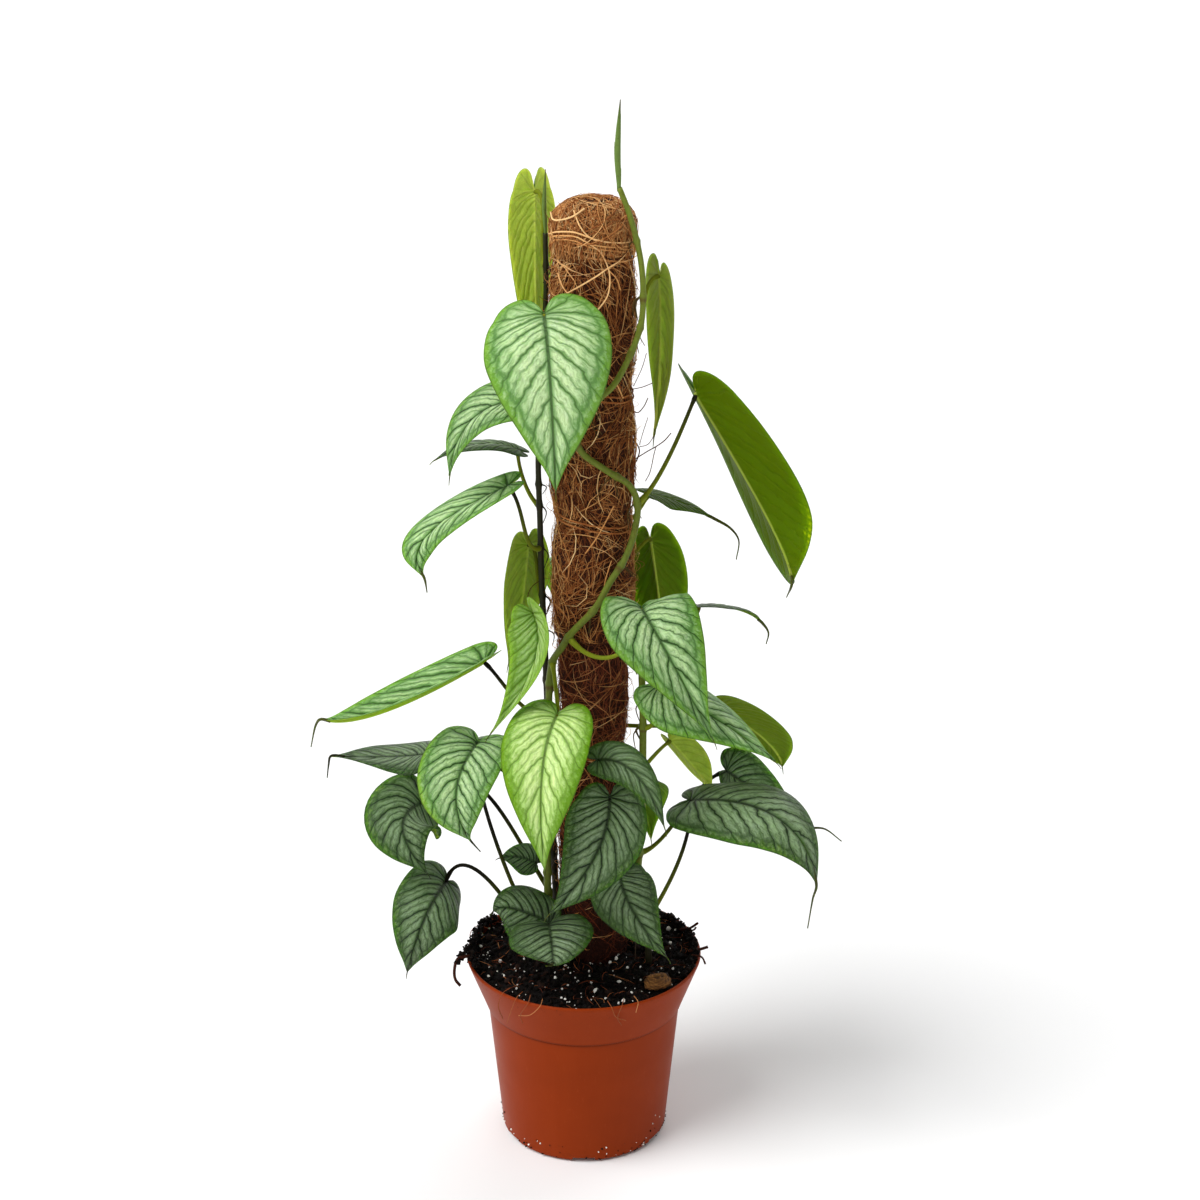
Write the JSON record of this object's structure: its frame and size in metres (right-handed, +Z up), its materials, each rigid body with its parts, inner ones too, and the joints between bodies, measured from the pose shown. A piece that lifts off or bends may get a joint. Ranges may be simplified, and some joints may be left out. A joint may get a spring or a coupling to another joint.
{
  "type": "potted monstera siltepecana",
  "caption": "Young climbing monstera with silver, dark-veined heart-shaped leaves on a coir pole, standing in soil in a round nursery pot.",
  "frame": {"origin": "centre of the pot's base, on the surface that it stands on", "axes": "+Z up, +X to the right and -Y to the front, as the plant is seen in the picture"},
  "size_m": [0.2635, 0.1571, 0.5331],
  "materials": {
    "pot_plastic": "moulded terracotta-coloured plastic, soft sheen",
    "potting_soil": "moist dark crumb with white grains",
    "bark": "rough, dull",
    "core_wood": "plain sawn wood",
    "coir_light": "matted light brown fibre",
    "coir_dark": "matted dark brown fibre",
    "binding_strand": "dull twisted fibre strand",
    "vine_green": "smooth waxy green",
    "stem_dark": "smooth dark green-brown",
    "spear_green": "smooth waxy green",
    "leaf_silver": "silver sheen between dark green veins",
    "leaf_slate": "dull dark silver between green veins",
    "leaf_lime": "pale silver centre with a yellow-green margin",
    "leaf_underside_green": "smooth green underside"
  },
  "bodies": {
    "root": {"pot": "pot_plastic", "soil": "potting_soil", "bark_chip": "bark", "stake_core": "core_wood", "coir_sleeve_lower": "coir_dark", "coir_sleeve_upper": "coir_light", "binding_top": "binding_strand", "binding_upper": "binding_strand", "binding_middle": "binding_strand", "binding_lower": "binding_strand", "vine_main": "vine_green", "vine_left": "stem_dark", "vine_right": "vine_green", "vine_back": "vine_green", "stem_short_left": "stem_dark", "stem_short_right": "stem_dark", "spear_top": "spear_green", "spear_left": "spear_green", "leaf_top_left": "leaf_underside_green", "leaf_big_silver": "leaf_silver", "leaf_upper_left_tilted": "leaf_silver", "leaf_upper_left_edge": "leaf_slate", "leaf_left_arched": "leaf_silver", "leaf_left_behind": "leaf_underside_green", "leaf_left_folded": "leaf_silver", "leaf_left_long": "leaf_silver", "leaf_low_left_flat": "leaf_slate", "leaf_low_left_silver": "leaf_silver", "leaf_low_left_dark": "leaf_slate", "leaf_front_lime": "leaf_lime", "leaf_soil_left": "leaf_slate", "leaf_front_slate": "leaf_slate", "leaf_front_dark": "leaf_slate", "leaf_soil_front_left": "leaf_slate", "leaf_soil_front": "leaf_slate", "leaf_soil_front_right": "leaf_slate", "leaf_inner_left": "leaf_slate", "leaf_top_right": "leaf_underside_green", "leaf_right_large": "leaf_underside_green", "leaf_right_upper": "leaf_slate", "leaf_right_behind": "leaf_underside_green", "leaf_right_silver": "leaf_silver", "leaf_right_edge": "leaf_slate", "leaf_right_lower_silver": "leaf_silver", "leaf_right_lower_back": "leaf_underside_green", "leaf_low_right_slate": "leaf_slate", "leaf_low_right_behind": "leaf_slate", "leaf_right_olive": "leaf_underside_green", "leaf_back_high_left": "leaf_silver", "leaf_back_high_right": "leaf_silver", "leaf_back_middle_left": "leaf_silver", "leaf_back_middle_right": "leaf_slate", "leaf_back_low_left": "leaf_slate", "leaf_back_low_right": "leaf_slate"}
  },
  "joints": []
}
